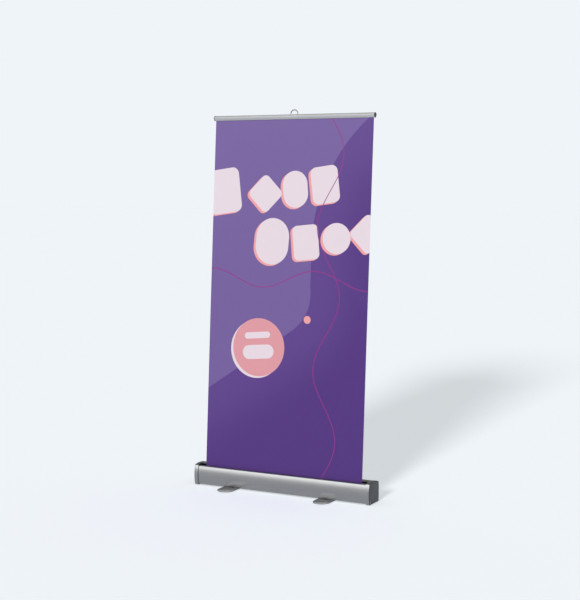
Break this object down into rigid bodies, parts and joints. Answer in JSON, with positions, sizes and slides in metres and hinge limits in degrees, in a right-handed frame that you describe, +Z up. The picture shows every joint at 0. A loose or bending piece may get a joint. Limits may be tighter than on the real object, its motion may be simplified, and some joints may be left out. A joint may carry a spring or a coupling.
{
  "type": "roll-up banner stand",
  "caption": "Retractable banner stand: a base with a sprung roller and swivel feet, a telescopic pole, and a hinged clamping rail that holds a leaning printed film.",
  "frame": {"origin": "on the floor, under the middle of the space that the stand fills: the middle of the base along X, the feet pivots in Y", "axes": "+Z up, the banner faces -Y, +X to the right as seen from the front"},
  "size_m": [1.12, 0.34, 2.1679],
  "materials": {
    "anodised_silver": "satin anodised",
    "black_extrusion": "matt black",
    "graphite_plastic": "fine texture",
    "black_plastic": "fine texture",
    "rubber": "matt",
    "brush_pile": "pile",
    "zinc_steel": "zinc plated",
    "nylon": "natural",
    "foot_coating": "graphite powder coat",
    "polished_wire": "polished",
    "leader_film": "satin",
    "banner_film": "satin print"
  },
  "bodies": {
    "base": {"base_profile": "black_extrusion", "front_cover": "anodised_silver", "left_end_cap": "graphite_plastic", "right_end_cap": "graphite_plastic", "left_cap_trim": "anodised_silver", "right_cap_trim": "anodised_silver", "cap_screws": "zinc_steel", "base_pads": "rubber", "slot_brushes": "brush_pile", "pole_socket": "graphite_plastic", "socket_screws": "zinc_steel", "foot_bolts": "zinc_steel", "foot_washers": "nylon", "foot_nuts": "zinc_steel", "arbor_bracket": "graphite_plastic", "spring_arbor": "zinc_steel", "torsion_spring": "zinc_steel", "spring_anchor": "nylon", "idle_bracket": "graphite_plastic", "idle_bush": "nylon"},
    "roller": {"roller_tube": "anodised_silver", "banner_roll": "leader_film", "spring_end_plug": "nylon", "idle_end_plug": "nylon"},
    "left_swivel_foot": {"left_foot": "foot_coating", "left_foot_pads": "rubber"},
    "right_swivel_foot": {"right_foot": "foot_coating", "right_foot_pads": "rubber"},
    "pole_lower": {"lower_tube": "anodised_silver", "lower_tube_plug": "black_plastic", "lower_guide_bush": "nylon"},
    "lower_twist_lock": {"lower_lock_collar": "black_plastic"},
    "pole_middle": {"middle_tube": "anodised_silver", "middle_slide_plug": "black_plastic", "upper_guide_bush": "nylon"},
    "upper_twist_lock": {"upper_lock_collar": "black_plastic"},
    "pole_top": {"top_tube": "anodised_silver", "top_slide_plug": "black_plastic", "pole_top_pin": "black_plastic"},
    "rail": {"rail_back": "anodised_silver", "left_rail_cap": "graphite_plastic", "right_rail_cap": "graphite_plastic", "rail_bracket": "graphite_plastic", "bracket_screws": "zinc_steel", "pull_loop": "polished_wire", "banner_sheet": "banner_film"},
    "rail_jaw": {"rail_front_jaw": "anodised_silver", "jaw_grip_strip": "rubber"}
  },
  "joints": [
    {"name": "left_foot_swivel", "type": "hinge", "parent": "base", "child": "left_swivel_foot", "pos_m": [-0.317, 0, 0.004], "axis": [0, 0, 1], "range_deg": [0, 90]},
    {"name": "right_foot_swivel", "type": "hinge", "parent": "base", "child": "right_swivel_foot", "pos_m": [0.295, 0, 0.004], "axis": [0, 0, 1], "range_deg": [-90, 0]},
    {"name": "roller_spin", "type": "hinge", "parent": "base", "child": "roller", "pos_m": [0, -0.01512, 0.058], "axis": [1, 0, 0], "range_deg": [0, 3200]},
    {"name": "pole_lift", "type": "slide", "parent": "base", "child": "pole_lower", "axis": [0, 0.041, 0.9992], "range_m": [0, 0.034]},
    {"name": "lower_lock_turn", "type": "hinge", "parent": "pole_lower", "child": "lower_twist_lock", "pos_m": [0, 0.05752, 0.79139], "axis": [0, 0.041, 0.9992], "range_deg": [0, 90]},
    {"name": "pole_middle_slide", "type": "slide", "parent": "pole_lower", "child": "pole_middle", "axis": [0, 0.041, 0.9992], "range_m": [-0.6, 0], "deforming": ["banner_sheet"]},
    {"name": "upper_lock_turn", "type": "hinge", "parent": "pole_middle", "child": "upper_twist_lock", "pos_m": [0, 0.08458, 1.45084], "axis": [0, 0.041, 0.9992], "range_deg": [0, 90]},
    {"name": "pole_top_slide", "type": "slide", "parent": "pole_middle", "child": "pole_top", "axis": [0, 0.041, 0.9992], "range_m": [-0.6, 0]},
    {"name": "rail_lift", "type": "slide", "parent": "pole_top", "child": "rail", "axis": [0, 0.041, 0.9992], "range_m": [0, 0.016]},
    {"name": "rail_jaw_hinge", "type": "hinge", "parent": "rail", "child": "rail_jaw", "pos_m": [0, 0.09441, 2.13319], "axis": [-1, 0, 0], "range_deg": [0, 45]}
  ],
  "couplings": [
    {"joint": "pole_top_slide", "follows": "pole_middle_slide", "ratio": 1},
    {"joint": "roller_spin", "follows": "pole_middle_slide", "rad_per_m": -92.379}
  ]
}
